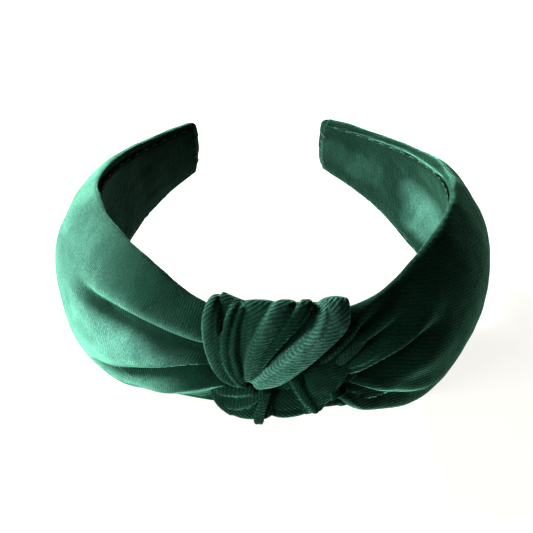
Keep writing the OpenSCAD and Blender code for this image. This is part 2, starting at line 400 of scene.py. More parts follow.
def moulded_abs():
    """ABS, injection moulded in a fine spark-eroded tool: off-white, satin, with a faint grain."""
    look = bpy.context.scene.headband_trim
    material, shader, place = start_material("abs_moulded", **{"Roughness": 0.42, "IOR": 1.54})
    # spark grain of about 0.25 mm
    grain = add_node(material, "ShaderNodeTexNoise",
                     {"Vector": place, "Scale": 1 / (0.25 * MM), "Detail": 2.0})
    tone = add_node(material, "ShaderNodeTexNoise", {"Vector": place, "Scale": 1 / (22 * MM), "Detail": 3.0})
    colour = add_node(material, "ShaderNodeMix",
                      {"Factor": tone.outputs["Fac"], 6: linear("#D8D4C6"), 7: linear(look.core_colour)},
                      data_type="RGBA")
    link(material, colour.outputs[2], shader.inputs["Base Color"])
    bump = add_node(material, "ShaderNodeBump",
                    {"Height": grain.outputs["Fac"], "Strength": 0.25, "Distance": 0.05 * MM})
    link(material, bump.outputs[0], shader.inputs["Normal"])
    return material


def polyester_thread():
    """Spun polyester sewing thread, two plies: dark green with a dull twisted shine."""
    look = bpy.context.scene.headband_trim
    material, shader, place = start_material("thread_polyester", **{
        "Roughness": 0.7, "IOR": 1.5, "Specular IOR Level": 0.2, "Sheen Weight": 0.1, "Sheen Roughness": 0.4})
    # a twist every 0.6 mm
    twist = add_node(material, "ShaderNodeTexWave",
                     {"Vector": place, "Scale": 1 / (0.6 * MM) / 2, "Distortion": 1.5, "Detail": 1.0},
                     bands_direction="DIAGONAL")
    colour = add_node(material, "ShaderNodeMix",
                      {"Factor": twist.outputs["Fac"], 6: linear("#071C15"), 7: linear(look.thread_colour)},
                      data_type="RGBA")
    link(material, colour.outputs[2], shader.inputs["Base Color"])
    bump = add_node(material, "ShaderNodeBump",
                    {"Height": twist.outputs["Fac"], "Strength": 0.6, "Distance": 0.1 * MM})
    link(material, bump.outputs[0], shader.inputs["Normal"])
    return material


def opal_acrylic():
    """Opal acrylic sheet of a light table, lit from below: pale, matt, with the faintest unevenness."""
    look = bpy.context.scene.headband_stage
    material, shader, place = start_material("acrylic_opal", **{
        "Roughness": 0.7, "IOR": 1.49, "Emission Strength": 0.9, "Emission Color": linear(look.floor_colour)})
    tone = add_node(material, "ShaderNodeTexNoise", {"Vector": place, "Scale": 1 / (90 * MM), "Detail": 2.0})
    colour = add_node(material, "ShaderNodeMix",
                      {"Factor": tone.outputs["Fac"], 6: linear("#8A8984"), 7: linear("#8E8D88")},
                      data_type="RGBA")
    link(material, colour.outputs[2], shader.inputs["Base Color"])
    return material


_made = {}


def finish_of(key):
    """The material for a key, made once."""
    pitch = bpy.context.scene.headband_velvet.rib_pitch
    makers = {
        "knot": lambda: velvet("velvet_knot", 0.6, 0.35, pitch * 0.9, 0.22),
        "right": lambda: velvet("velvet_right_sleeve", 0.25, 0.45, pitch, 0.42),
        "left": lambda: velvet("velvet_left_sleeve", 0.25, 0.5, pitch * 0.7, 0.32),
        "lining": lambda: velvet("velvet_lining", 0.12, 0.6, pitch * 0.7, 0.2),
        "foam": polyurethane_foam, "core": moulded_abs, "thread": polyester_thread, "board": opal_acrylic,
    }
    if key not in _made:
        _made[key] = makers[key]()
    return _made[key]


# ---------------------------------------------------------------- sleeves

# Creases of each sleeve: its line as (angle from the crown's middle, height above the band's middle),
# from the knot outwards, its depth, its width beside the knot and at its far end, and how far its
# upper bank overhangs, from 0 to 1
CREASES = {
    "right": [
        ([(9, 7.5), (13, 11), (19, 15), (27, 19), (36, 22)], 1.6, 0.9, 2.4, 0.2),
        ([(10, 4.5), (16, 7.5), (22, 10.5), (30, 14), (40, 17)], 2.4, 1.1, 3.0, 0.2),
        ([(10, 1.5), (17, 3), (25, 6.5), (34, 11), (42, 14)], 1.5, 0.9, 2.4, 0.1),
        ([(10, -1.6), (17, -1.4), (24, 0.6), (32, 3), (40, 6), (48, 8)], 4.0, 1.8, 4.4, 0.25),
        ([(12, -5), (18, -8.4), (24, -13.5), (33, -19.5), (44, -24), (58, -25)], 3.6, 2.1, 4.4, 0.2),
        ([(13, -9), (19, -14), (27, -20)], 1.2, 0.9, 2.0, 0.0),
    ],
    "left": [
        ([(17, 8.8), (23, 9), (31, 9.8), (40, 10.6), (50, 10.6), (60, 10.4), (70, 11)], 4.8, 2.2, 3.6, 0.4),
        ([(16, 3.2), (23, 3), (30, 0), (37, -5), (46, -11.5), (56, -17.5), (66, -22)], 3.5, 1.8, 3.0, 0.4),
        ([(17, 5.8), (25, 5.4), (35, 2.4), (46, -2), (58, -7), (70, -11)], -2.4, 1.1, 5.0, 0.0),
        ([(17, -3), (24, -5), (33, -10.5), (45, -19)], -1.4, 2.0, 3.6, 0.0),
        ([(19, 15.5), (31, 16.5), (45, 18), (62, 18)], -1.5, 3.0, 5.5, 0.0),
    ],
}
NECK_TURN = {"right": 10.5, "left": 16.0}
LIP_PHI = math.radians(150)
DEEPEST_CREASE = 3.8
CREASE_FADES_FROM = 0.6
# place and width of a crease's bank, in crease widths
BANK_PLACE, BANK_WIDTH = 2.1, 1.1
NECK_PULL, NECK_LENGTH = 2.2, 9.0
# how far outside the middle line the velvet stays over the core
CLEAR_OF_CORE = 2.9
EDGE_GROOVE_PHI, EDGE_GROOVE_WIDTH, EDGE_GROOVE_DEPTH = math.radians(124), math.radians(9), 1.2
# the creases die out over this length before the tip, and this share of them is gone at its end
TIP_FADE_LENGTH, TIP_FADE = 12, 0.8
# the lower half of the right sleeve is drawn up by this share beside the knot
RIGHT_NECK_DRAW = 0.2


def crease_shape(s, z, line, near_w, far_w, overhang):
    """A crease's valley and bank at each (s, z), and whether the place is above it, each from 0 to 1."""
    knots = np.array([(turn_to_s(turn), height) for turn, height in line])
    path = catmull_rom(knots, np.linspace(0, len(knots) - 1, 48))
    flat = np.stack([s.ravel(), z.ravel()], -1)
    step = path[1:] - path[:-1]
    best = np.full(len(flat), 1e9)
    sign = np.ones(len(flat))
    where = np.zeros(len(flat))
    for k, (start, move) in enumerate(zip(path[:-1], step)):
        t = np.clip(((flat - start) @ move) / (move @ move), 0, 1)
        gap = flat - start - t[:, None] * move
        distance = np.hypot(gap[:, 0], gap[:, 1])
        near = distance < best
        best[near] = distance[near]
        over = (move[0] * gap[near, 1] - move[1] * gap[near, 0]) / np.linalg.norm(move)
        sign[near] = np.tanh(over / 0.9)
        where[near] = (k + t[near]) / len(step)
    width = near_w + (far_w - near_w) * where
    above = (1 + sign) / 2
    width = width * (1 + overhang * (0.5 - 1.2 * above))
    fade = 1 - smoothstep(CREASE_FADES_FROM, 1.0, where)
    q = best / width
    valley = fade * np.exp(-q ** 2)
    bank = fade * np.exp(-((q - BANK_PLACE) / BANK_WIDTH) ** 2)
    return (part.reshape(s.shape) for part in (valley, bank, above))


def pleats(side, s, z):
    """How far all of a sleeve's creases move its surface outwards at each (s, z)."""
    depth = bpy.context.scene.headband_velvet.pleat_depth
    total = np.zeros_like(s)
    for line, deep, near_w, far_w, overhang in CREASES[side]:
        valley, bank, above = crease_shape(s, z, line, near_w, far_w, overhang)
        total += deep * depth * (bank * (0.3 + 0.45 * overhang * above) - valley)
    return np.maximum(total, -DEEPEST_CREASE)


def painted_light_on_sleeve(side, s, z):
    """Painted light and painted shade on a sleeve at each (s, z): painted light below the long folds and where
    the left arm turns to the lamps, painted shade inside the creases.
    """
    turn = np.degrees(s / CROWN_R)
    if side == "left":
        fold = np.array(CREASES[side][0][0], float)
        below_fold = smoothstep(-1.5, -6.5, z - np.interp(turn, fold[:, 0], fold[:, 1]))
        # painted light where the left arm turns towards the lamps and on the bulge below its long fold, less
        # towards the bottom
        bend = 0.78 * smoothstep(38, 80, turn) * (1 - 0.35 * smoothstep(14, 26, z))
        belly = 1.25 * below_fold * smoothstep(23, 44, turn) * (1 - 0.45 * smoothstep(55, 85, turn))
        lift = np.maximum(bend, belly) * (1 - 0.45 * smoothstep(-15, -28, z))
        bank_painted_highlight = 0.7
    else:
        # a little painted light low down on the right arm, away from the knot
        lift = 0.05 + 0.1 * smoothstep(20, 60, turn) * smoothstep(0, -18, z)
        bank_painted_highlight = 0.22
    # painted highlight on each crease's upper bank and painted shade in its valley
    for line, deep, near_w, far_w, overhang in CREASES[side]:
        if deep > 0:
            valley, bank, above = crease_shape(s, z, line, near_w, far_w, overhang)
            lift += bank_painted_highlight * bank * above * smoothstep(16, 26, turn)
            lift += (-0.9 - lift) * min(1, 0.28 * deep) * valley
    return lift


def sleeve_grid(side, along, around):
    """The sleeve's outer surface with its pleats, and its s and phi."""
    start = turn_to_s(NECK_TURN[side])
    t = np.linspace(0, 1, along)
    s = start + (SLEEVE_END - start) * (0.55 * t + 0.45 * t ** 2)
    phi = np.linspace(-LIP_PHI, LIP_PHI, around)
    s, phi = np.meshgrid(s, phi, indexing="ij")
    base = skin(s, phi, 0.0, side)
    normal = grid_normals(base) * SIDE_SIGN[side]
    z = base[..., 2] - MID_Z
    outer = smoothstep(-0.25, 0.35, np.cos(phi))
    push = pleats(side, s, z) * outer
    # the turned edge lies in a groove between the padded roll and the lining
    groove = np.exp(-((np.abs(phi) - EDGE_GROOVE_PHI) / EDGE_GROOVE_WIDTH) ** 2)
    push -= EDGE_GROOVE_DEPTH * groove * smoothstep(30, 60, s)
    push += 0.5 * wobble(base, 26, 3) * smoothstep(0, 40, s - start)
    push += 0.12 * wobble(base, 9, 5)
    push *= 1 - smoothstep(SLEEVE_END - TIP_FADE_LENGTH, SLEEVE_END, s) * TIP_FADE
    # the neck is drawn in where it enters the knot, and no crease reaches the core
    push -= NECK_PULL * (1 - smoothstep(0, NECK_LENGTH, s - start)) * outer
    over_core = (np.abs(z) < CORE_HALF_W + 2.5) & (np.cos(phi) > 0)
    lowest = np.minimum(CLEAR_OF_CORE - surface_n(s, phi, 0.0, side), 0)
    push = np.where(over_core, np.maximum(push, lowest), push)
    grid = base + normal * push[..., None]
    if side == "right":
        drawn = 1 - RIGHT_NECK_DRAW * (1 - smoothstep(2, 17, s - start)) * (grid[..., 2] < MID_Z)
        grid[..., 2] = MID_Z + (grid[..., 2] - MID_Z) * drawn
    grid[..., 2] = np.maximum(grid[..., 2], 0.0)
    return grid, s, phi


def make_sleeve(side):
    grid, s, phi = sleeve_grid(side, 260, 150)
    inner = grid - grid_normals(grid) * SIDE_SIGN[side] * VELVET_T
    inner[..., 2] = np.maximum(inner[..., 2], 0.05)
    points, faces = shell(grid, inner)
    rib = s if side == "left" else grid[..., 2] + 0.25 * s
    lift = painted_light_on_sleeve(side, s, grid[..., 2] - MID_Z)
    # painted shade where the sleeve turns to the head's side and into the groove by its lining
    lift += (-0.8 - lift) * smoothstep(0.1, -0.6, np.cos(phi))
    obj = mesh_object(f"velvet_sleeve_{side}", points, faces, finish_of(side),
                      rib=np.tile(rib.ravel(), 2), lift=np.tile(lift.ravel(), 2))
    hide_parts(f"sleeve_{side}")
    bend_over_flex(obj)


def bend_over_flex(obj):
    """Bakes the cloth's placing into its mesh."""
    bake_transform(obj)


# ---------------------------------------------------------------- linings, tips, foam and core

LINING_START_TURN = 15.6
# half of the angle round the section that the lining covers, beside the knot and beyond
LINING_NEAR_ANGLE, LINING_FAR_ANGLE = 44, 56
# where a strip's edge begins to turn under, and how wide the turn is, in half widths of the strip
LINING_EDGE, BACKING_EDGE = (0.93, 0.07), (0.9, 0.1)
FOAM_START_TURN = 22.1
FOAM_HALF_ANGLE = 47
FOAM_INSET = VELVET_T + 1.1
FOAM_CREASE = 1.2


def turned_under(across, edge):
    """How full a strip is at a place across it from -1 to 1: 1, falling to 0 round its turned edges."""
    begins, width = edge
    return np.sqrt(np.clip(1 - np.clip((np.abs(across) - begins) / width, 0, 1) ** 2, 0, 1))


def make_lining(side):
    """Flat velvet on the head's side, with its edges turned under."""
    t = np.linspace(0, 1, 150)
    start = turn_to_s(LINING_START_TURN)
    s = start + (SLEEVE_END - start) * t
    s, across = np.meshgrid(s, np.linspace(-1, 1, 56), indexing="ij")
    half_angle = LINING_NEAR_ANGLE + (LINING_FAR_ANGLE - LINING_NEAR_ANGLE) * smoothstep(0, 16, s - start)
    phi = math.pi + np.radians(half_angle) * across
    puff = turned_under(across, LINING_EDGE)
    middle = skin(s, phi, -FIT_GAP - 0.35, side)
    normal = grid_normals(middle) * SIDE_SIGN[side]
    ease = 0.5 * wobble(middle, 17, 11) + 0.15 * wobble(middle, 6, 12)
    face = middle + normal * (0.08 + (0.5 * LINING_T + ease * 0.6) * puff)[..., None]
    back = middle - normal * (0.08 + 0.22 * puff)[..., None]
    points, faces = shell(face, back)
    # painted light: a pool of light on the right arm's lining over a hand's breadth before its tip and a
    # fainter band of it nearer the tip, over painted shade; the left lining is painted shade all over
    z = middle[..., 2] - MID_Z
    drift = 5 * wobble(middle, 22, 41) + 2 * wobble(middle, 7, 42)
    painted_light_patch = smoothstep(100, 117, s + drift) * (1 - smoothstep(134, 150, s + drift))
    painted_light_patch *= smoothstep(-17, -7, z + 0.5 * drift) * (1 - smoothstep(2, 12, z + 0.1 * (s - 130) + 0.4 * drift))
    painted_light_near_tip = 0.38 * smoothstep(144, 158, s - drift) * (1 - smoothstep(2, 11, np.abs(z - 1 + 0.5 * drift)))
    lift = 1.15 * painted_light_patch + painted_light_near_tip - 0.2 if side == "right" else np.full_like(s, -0.55)
    obj = mesh_object(f"velvet_lining_{side}", points, faces, finish_of("lining"),
                      rib=np.tile(s.ravel(), 2), lift=np.tile(lift.ravel(), 2))
    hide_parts(f"lining_{side}")
    bend_over_flex(obj)


def make_tip(side):
    """The sleeve's end, folded over the core's tip: rounded, with small tucks at its two corners."""
    rows, columns = 16, 72
    turn = np.linspace(0, math.radians(86), rows)
    phi = np.linspace(0, 2 * math.pi, columns, endpoint=False)
    turn, phi = np.meshgrid(turn, phi, indexing="ij")
    s = SLEEVE_END - 0.4 + (HALF_LEN - SLEEVE_END + 0.2) * np.sin(turn)
    tuck = 0.28 * np.cos(phi * 2 - math.pi) * np.sin(turn) * np.cos(6 * phi)
    grid = skin(s, phi, 3.4 * (1 - np.cos(turn)) + 0.15 + tuck, side)
    points = np.concatenate([grid.reshape(-1, 3), grid[:1].mean(axis=1), grid[-1:].mean(axis=1)])
    faces = grid_faces(rows, columns, wrap_columns=True)
    count = rows * columns
    for c in range(columns):
        d = (c + 1) % columns
        faces.append((d, c, count))
        faces.append((count - columns + c, count - columns + d, count + 1))
    rib = np.concatenate([s.ravel(), [0, 0]])
    obj = mesh_object(f"tip_fold_velvet_{side}", points, faces, finish_of("lining"), rib=rib)
    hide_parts(f"tip_fold_{side}")
    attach(obj, f"{side}_arm")


def make_foam(side):
    """Sponge strip under the velvet: domed and creased like it outside, flat on the core, thin at its edges."""
    rows, columns = 110, 48
    s = np.linspace(turn_to_s(FOAM_START_TURN), SLEEVE_END - 4, rows)
    phi = math.radians(FOAM_HALF_ANGLE) * np.linspace(-1, 1, columns)
    s, phi = np.meshgrid(s, phi, indexing="ij")
    z = skin(s, phi, FOAM_INSET, side)[..., 2] - MID_Z
    outer = surface_n(s, phi, FOAM_INSET, side) + FOAM_CREASE * np.minimum(pleats(side, s, z), 0)
    outer -= 1.8 * (1 - smoothstep(22, 32, np.degrees(s / CROWN_R)))
    on_core = np.abs(z) < CORE_HALF_W + 0.5
    outer = np.where(on_core, np.maximum(outer, 1.5), outer)
    inner = np.where(on_core, 1.1, outer - 1.5)
    head_side = surface_n(s, phi, FOAM_INSET, side, facing=-1)
    inner = np.minimum(np.maximum(inner, head_side + 0.3), outer - 0.4)
    points, faces = shell(at(s, outer, z, side), at(s, inner, z, side))
    obj = mesh_object(f"foam_strip_{side}", points, faces, finish_of("foam"))
    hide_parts(f"padding_{side}")
    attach(obj, f"{side}_arm")


def dress_core():
    for node in ("core_crown", "core_left", "core_right"):
        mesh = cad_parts[node].data
        mesh.materials.clear()
        mesh.materials.append(finish_of("core"))


# ---------------------------------------------------------------- stitches

SLIP_STITCH_PITCH = 6.0
SLIP_STITCH_ANGLE = math.radians(57.5)


def thread_loop(start, end, lift, radius=0.18, rings=9, sides=8):
    """Points and faces of one thread that rises from start, bows over by lift and goes in at end."""
    start, end, lift = (np.asarray(v, float) for v in (start, end, lift))
    t = np.linspace(0, 1, rings)
    spine = start + (end - start) * t[:, None] + lift * np.sin(math.pi * t)[:, None] - lift * 0.25
    along = np.gradient(spine, axis=0)
    along /= np.linalg.norm(along, axis=1, keepdims=True)
    across = np.cross(along, lift / np.linalg.norm(lift))
    across /= np.linalg.norm(across, axis=1, keepdims=True)
    up = np.cross(across, along)
    a = np.linspace(0, 2 * math.pi, sides, endpoint=False)
    ring = across[:, None] * np.cos(a)[None, :, None] + up[:, None] * np.sin(a)[None, :, None]
    points = (spine[:, None] + radius * ring).reshape(-1, 3)
    faces = grid_faces(rings, sides, wrap_columns=True)
    faces.append(tuple(reversed(range(sides))))
    faces.append(tuple((rings - 1) * sides + k for k in range(sides)))
    return points, faces


def thread_object(name, loops, node, body):
    points, faces, count = [], [], 0
    for loop_points, loop_faces in loops:
        points.append(loop_points)
        faces += [tuple(i + count for i in f) for f in loop_faces]
        count += len(loop_points)
    obj = mesh_object(name, np.concatenate(points), faces, finish_of("thread"))
    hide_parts(node)
    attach(obj, body)


def make_arm_stitches(side):
    stitch = bpy.context.scene.headband_trim.stitch_length / MM
    loops = []
    first = turn_to_s(FOAM_START_TURN) + 4
    for k in range(int((SLEEVE_END - 6 - first) // SLIP_STITCH_PITCH) + 1):
        for phi in (math.pi - SLIP_STITCH_ANGLE, math.pi + SLIP_STITCH_ANGLE):
            s = first + k * SLIP_STITCH_PITCH + np.array([0, stitch])
            ends = skin(s, np.full(2, phi), -FIT_GAP - 0.3, side)
            lift = skin(s[:1], np.array([phi]), -FIT_GAP - 0.6, side)[0] - ends[0]
            loops.append(thread_loop(ends[0], ends[1], lift))
    thread_object(f"slip_stitches_{side}", loops, f"lining_stitches_{side}", f"{side}_arm")
    loops = []
    for height in (-5.4, -1.8, 1.8, 5.4):
        s = np.array([HALF_LEN - 6.4, HALF_LEN - 2.4])
        n = np.array([INNER_N - LINING_T + 0.1, INNER_N + 0.2])
        ends = at(s, n, np.array([height, height + 1.2]), side)
        lift = (at(s[:1], n[:1] - 0.35, np.array([height]), side) - ends[0])[0]
        loops.append(thread_loop(ends[0], ends[1], lift))
    thread_object(f"tip_stitch_threads_{side}", loops, f"tip_stitches_{side}", f"{side}_arm")


def make_knot_stitches():
    loops = []
    n = -5.0
    for x in (-17, -12.5, -8, -3.5, 1, 5.5, 10):
        ends = on_crown(np.array([(x, n + 1.0, 9.8), (x + 2.2, n + 1.0, 13)]))
        lift = on_crown(np.array([x, n, 11.0])) - on_crown(np.array([x, n + 1.0, 11.0]))
        loops.append(thread_loop(ends[0], ends[1], lift, radius=0.24))
    thread_object("knot_tacking_stitches", loops, "knot_stitches", "crown")


# ---------------------------------------------------------------- knot

# Each fold of the knot follows a spine of (distance round the crown, n outside the middle line, height
# above the middle, half width, rise of its outer face), in millimetres. A fold's grooves are
# (place across from -1 to 1, depth, width).
WRAP_FOLDS = {
    "under": ([(-6, -4.4, 9, 19, 1.2), (-6, -2.4, 20.6, 19, 1.6), (-6.4, 2.4, 23.4, 18.6, 1.8),
               (-8, 5.4, 20.4, 15.6, 2.2), (-10, 6, 14, 12.2, 2.4), (-11.8, 6, 7, 8, 2.2),
               (-12.6, 5.6, 0.5, 4.2, 2.0)], []),
    "rear_right": ([(14.4, -3.2, 9.6, 3.8, 0.9), (14.4, -2.6, 17.8, 3.8, 1.1), (14.2, 0.6, 20, 3.8, 1.2),
                    (14, 3.8, 19, 3.4, 1.0)], []),
    "left_roll": ([(-24, -4.6, 11, 2.2, 1.0), (-24.3, -2.6, 20.8, 2.4, 1.6), (-24.4, 2.2, 25, 2.5, 2.0),
                   (-24.5, 7.2, 22.6, 2.7, 2.2), (-24.1, 8.4, 16.8, 2.7, 2.4), (-22.8, 8.4, 9.3, 2.6, 2.3),
                   (-19.8, 8.0, 2.4, 2.3, 2.0), (-14.9, 7.2, -1.6, 1.3, 1.5)], [(0.5, 0.5, 0.22)]),
    "first_ridge": ([(-17.6, -1.6, 21.8, 1.3, 1.2), (-17.6, 3.6, 24.8, 1.3, 1.5),
                     (-19, 7.6, 22.2, 1.2, 1.9), (-19.7, 8.7, 15, 1.15, 2.0), (-18.6, 8.7, 6.8, 1.1, 1.9),
                     (-15.4, 8.4, 0.8, 1.0, 1.5), (-13.3, 7.6, -1.2, 0.8, 1.0)], []),
    "second_ridge": ([(-14.8, -1, 21.8, 1.2, 1.2), (-15.2, 4.2, 24.8, 1.2, 1.5),
                      (-16.7, 7.6, 20.8, 1.1, 1.8), (-17.1, 8.6, 13, 1.1, 2.0), (-15.7, 8.5, 5, 1.0, 1.7),
                      (-13.8, 7.8, -0.2, 0.8, 1.2)], []),
    "mid_panel": ([(-9.5, -2, 22, 5.6, 1.5), (-10, 2.8, 25.2, 5.6, 1.9), (-12, 6.2, 21, 4.4, 2.0),
                   (-14.1, 6.9, 11, 2.6, 2.0), (-13.6, 6.6, 0, 1.3, 1.6)], []),
    "lit_ridge": ([(-1, -1.6, 22.4, 3.6, 1.6), (-2.4, 3.4, 25.6, 3.6, 2.2), (-6.2, 7.6, 22.4, 3.0, 3.0),
                   (-9.7, 8.6, 16, 2.4, 3.4), (-12, 8.4, 8.6, 1.9, 3.1), (-12.9, 7.6, 1, 1.1, 2.0)], []),
    "dark_roll": ([(4.6, -1.4, 22, 2.4, 1.8), (4.2, 4.0, 25.8, 2.3, 2.4), (-0.4, 7.6, 22.4, 2.2, 2.6),
                   (-5.3, 8.8, 16, 1.9, 2.6), (-9.6, 8.6, 8.4, 1.6, 2.4), (-12.3, 7.6, 1, 1.0, 1.6)],
                  [(0.0, 0.35, 0.3)]),
    "front_band": ([(13.8, -2, 21.4, 5.0, 1.6), (13.8, 2.4, 25, 5.0, 2.0), (12.4, 7.2, 21.6, 4.6, 2.6),
                    (6.8, 9.2, 16.2, 4.0, 3.2), (0.4, 9.8, 10.2, 4.1, 3.2), (-5.6, 9.2, 4.0, 3.6, 3.0),
                    (-11, 7.8, -0.8, 1.6, 2.0)], [(0.62, 0.3, 0.25)]),
    "band_edge": ([(11, 2.6, 25.4, 1.6, 2.0), (8.8, 8.0, 21.8, 1.5, 2.2), (4.6, 10.2, 17.4, 1.5, 2.4),
                   (-1.0, 10.8, 12.2, 1.5, 2.4), (-7, 10, 6.2, 1.4, 2.2), (-12, 8.2, 1, 0.8, 1.6)], []),
}
LEFT_LOBE_FOLDS = {
    "belly": ([(-25.4, 3.6, -7.2, 1.4, 1.8), (-21, 5.0, -8.0, 4.0, 2.8), (-15.5, 5.6, -9.4, 5.5, 3.0),
               (-10.5, 5.6, -9.4, 5.6, 2.8), (-6.5, 5.2, -8, 5.0, 2.4)], []),
    "upper_fold": ([(-24.6, 4.2, -6.6, 1.0, 1.2), (-20.5, 6.4, -5.0, 1.9, 1.7), (-16, 7.4, -3.6, 1.8, 1.7),
                    (-10.5, 8.2, -1.8, 1.2, 1.6)], []),
    "lower_fold": ([(-21.5, 5.8, -10, 1.4, 1.4), (-18, 7.0, -9.0, 1.7, 1.8), (-14, 7.8, -7.2, 1.7, 1.9),
                    (-10.6, 8.6, -4.6, 1.4, 1.8), (-7.4, 8.8, -1.6, 1.1, 1.4)], []),
}
RIGHT_LOBE_FOLDS = {
    "fill": ([(-5, 4.8, 0, 4.0, 2.0), (3, 4.6, 0.6, 4.6, 2.0), (9, 3.6, 2.2, 4.6, 1.8),
              (13.6, 2.6, 4, 4.2, 1.4), (16.4, 1.6, 4.4, 3.4, 0.9)], []),
    "under_piece": ([(-9, 3.8, -8, 5.0, 2.4), (-3, 4.8, -8.8, 6.2, 2.6), (3, 4.8, -8.2, 6.2, 2.6),
                     (9, 4.4, -6.4, 6.4, 2.4), (13.6, 3.2, -6.4, 6.0, 1.8), (16.4, 1.9, -6.6, 5.4, 1.0)],
                    [(-0.35, 0.7, 0.18), (0.1, 0.5, 0.15)]),
    "under_end": ([(7, 3.8, -9.5, 3.6, 1.9), (12.6, 2.4, -12, 3.0, 1.7), (17, 1.5, -13.4, 2.4, 1.5),
                   (22, 0.9, -14.4, 1.9, 1.2)], []),
    "tuck": ([(17, 3.4, 9, 4.0, 1.6), (13.2, 5.2, 4.4, 6.0, 2.4), (10.2, 6.0, -0.6, 6.4, 2.7),
              (9.2, 6.0, -6, 4.4, 2.6), (8.4, 5.6, -12, 1.7, 1.9)], [(0.35, 0.6, 0.22), (-0.2, 0.4, 0.2)]),
    "tuck_edge": ([(0, 6.6, 3.2, 1.4, 1.3), (3.0, 7.2, -2.8, 1.7, 1.7), (5.8, 7.2, -8, 1.6, 1.7),
                   (8.3, 6.6, -12.4, 1.2, 1.5)], []),
}
GATHER_FOLDS = {
    "back": ([(7, 3.4, 2, 5.0, 1.8), (12, 3.9, 7, 6.4, 2.0), (17, 3.4, 11, 6.4, 2.0),
              (22, 1.8, 14.6, 5.4, 1.4)], []),
    "thin_pleat": ([(8.4, 5.6, 5.6, 0.9, 1.1), (13, 6.4, 9.6, 1.0, 1.3), (17.6, 6, 13.8, 1.0, 1.3),
                    (21.6, 4.6, 17.6, 1.0, 1.0)], []),
    "broad_pleat": ([(12, 5.2, 3.6, 1.7, 1.3), (16.6, 5.8, 6.6, 1.9, 1.4), (21, 5.2, 10, 2.0, 1.3),
                     (25, 4, 13, 2.0, 1.0)], []),
}
TAIL_FOLDS = {
    "loose_end": ([(-6.6, 8.4, -1.8, 0.8, 1.2), (-8.2, 8.8, -6.6, 1.3, 1.3), (-9.4, 8.4, -11.4, 1.6, 1.4),
                   (-9.7, 7.8, -15.4, 1.6, 1.4)], [(0.1, 0.6, 0.3)]),
}
STRAND_FOLDS = {
    "round_core": ([(-24.8, -0.2, 2.4, 15.4, 2.4), (-12, 0, 2.4, 15.6, 2.6), (0, 0, 2, 16, 2.6),
                    (12, 0, 1.8, 16.4, 2.6), (21, -0.2, 1.6, 16, 2.2)], []),
    "strand": ([(-22, 3.6, -1.2, 3.0, 2.8), (-10, 4.0, -1.6, 2.9, 2.6), (2, 4.0, -1.6, 2.9, 2.6),
                (14, 4.0, -1.2, 2.9, 2.6), (22, 3.6, -1, 3.0, 2.8)],
               [(-0.5, 0.6, 0.2), (0, 0.7, 0.2), (0.5, 0.6, 0.2)]),
}
# Painted light, above 0, and painted shade, below 0, on each fold that does not keep the velvet's own colour
FOLD_PAINTED_LIGHT_AND_SHADE = {
    "under": -0.6, "rear_right": -0.3, "left_roll": 0.1, "mid_panel": 0.12, "lit_ridge": 0.18,
    "dark_roll": -0.35, "front_band": 0.85, "band_edge": 1.2, "belly": -0.45, "fill": -0.7,
    "under_piece": -0.75, "under_end": -0.6, "tuck": -0.45, "tuck_edge": -0.2, "back": -0.3,
    "thin_pleat": 0.1, "broad_pleat": 0.12, "loose_end": -0.1, "round_core": -0.5, "strand": -0.5,
}


def fold_points(spine, grooves, rings=64, around=40):
    """One rolled fold: a flattened tube along its spine, domed outside and flatter inside."""
    spine = np.array(spine, float)
    fine = catmull_rom(spine, np.linspace(0, len(spine) - 1, rings))
    line, half_w, rise = fine[:, :3], fine[:, 3], fine[:, 4]
    along = np.gradient(line, axis=0)
    length = np.concatenate([[0], np.cumsum(np.linalg.norm(np.diff(line, axis=0), axis=1))])
    along /= np.linalg.norm(along, axis=1, keepdims=True)
    # across the fold: level with the crown's surface where the spine runs over it
    across = np.cross(along, np.stack([along[:, 0] * 0, -along[:, 2], along[:, 1]], -1))
    flat = np.hypot(along[:, 1], along[:, 2])
    across = np.where(flat[:, None] > 0.25, across, np.array([0, 0, 1.0]))
    across -= along * np.sum(across * along, axis=1, keepdims=True)
    across /= np.linalg.norm(across, axis=1, keepdims=True)
    outward = np.cross(across, along)
    # keep the outward side away from the band's core
    core = np.stack([line[:, 0], np.full(rings, -1.0), np.clip(line[:, 2], -10, 10)], -1)
    flip = np.sum(outward * (line - core), axis=1) < 0
    outward[flip] *= -1
    across[flip] *= -1
    across = np.where((across[:, :1] < 0) & (np.abs(across[:, :1]) > 0.2), -across, across)
    a = np.linspace(0, 2 * math.pi, around, endpoint=False)
    cosine, sine = np.cos(a), np.sin(a)
    side = np.sign(cosine) * np.abs(cosine) ** 0.85
    up = np.where(sine > 0, sine ** 0.9, -0.8 * np.abs(sine) ** 0.8)
    end = np.sqrt(np.clip(1 - (np.abs(np.linspace(-1, 1, rings)) ** 14), 0.02, 1))
    dip = np.zeros(around)
    for place, depth, width in grooves:
        dip += np.where(sine > 0, depth * np.exp(-((side - place) / width) ** 2), 0)
    lateral = side[None, :] * (half_w * end)[:, None]
    height = up[None, :] * (rise * end)[:, None] - dip[None, :] * end[:, None]
    points = line[:, None] + across[:, None] * lateral[..., None] + outward[:, None] * height[..., None]
    rib = 0.78 * length[:, None] + 0.63 * lateral
    faces = grid_faces(rings, around, wrap_columns=True)
    faces.append(tuple(reversed(range(around))))
    faces.append(tuple((rings - 1) * around + k for k in range(around)))
    return points.reshape(-1, 3), faces, rib.ravel()


